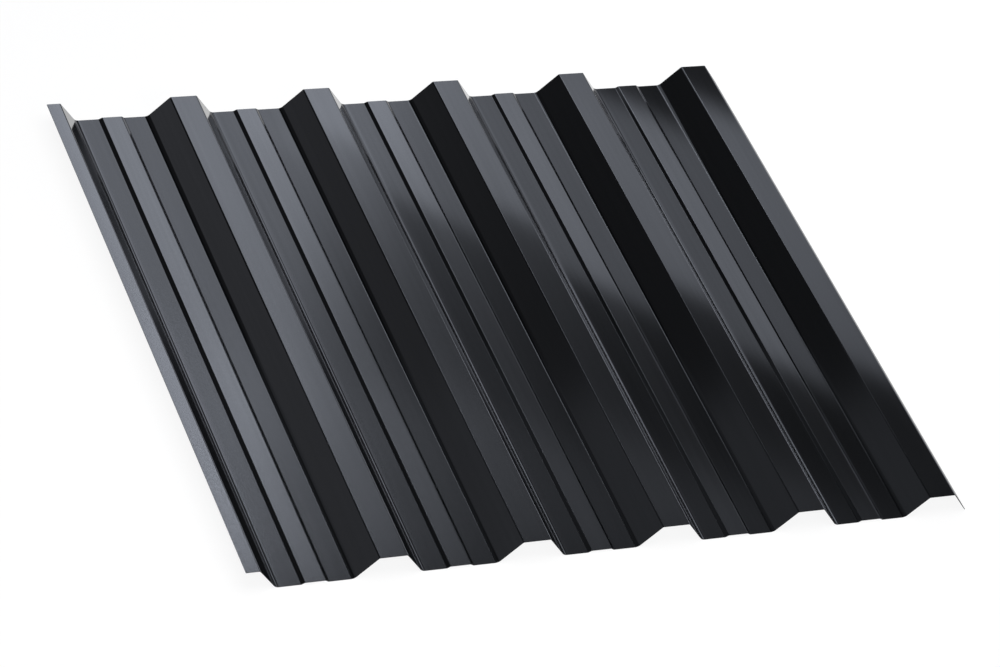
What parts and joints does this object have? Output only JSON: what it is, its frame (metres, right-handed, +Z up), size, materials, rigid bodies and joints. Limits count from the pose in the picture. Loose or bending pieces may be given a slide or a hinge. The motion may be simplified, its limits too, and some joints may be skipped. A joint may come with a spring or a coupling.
{
  "type": "trapezoidal profiled metal sheet",
  "caption": "Flat-ribbed roofing and cladding sheet roll-formed from thin painted steel, with wide stiffened valleys, a half rib to lap under and a whole rib to lap over",
  "frame": {"origin": "centre of the bounding box's bottom face, on the level that the valleys rest on", "axes": "+X across the sheet from the half rib to the whole edge rib, +Y along the ribs, +Z up to the rib tops"},
  "size_m": [1.0822, 0.918, 0.0355],
  "materials": {
    "painted_steel": "gloss"
  },
  "bodies": {
    "root": {"profiled_sheet": "painted_steel"}
  },
  "joints": []
}
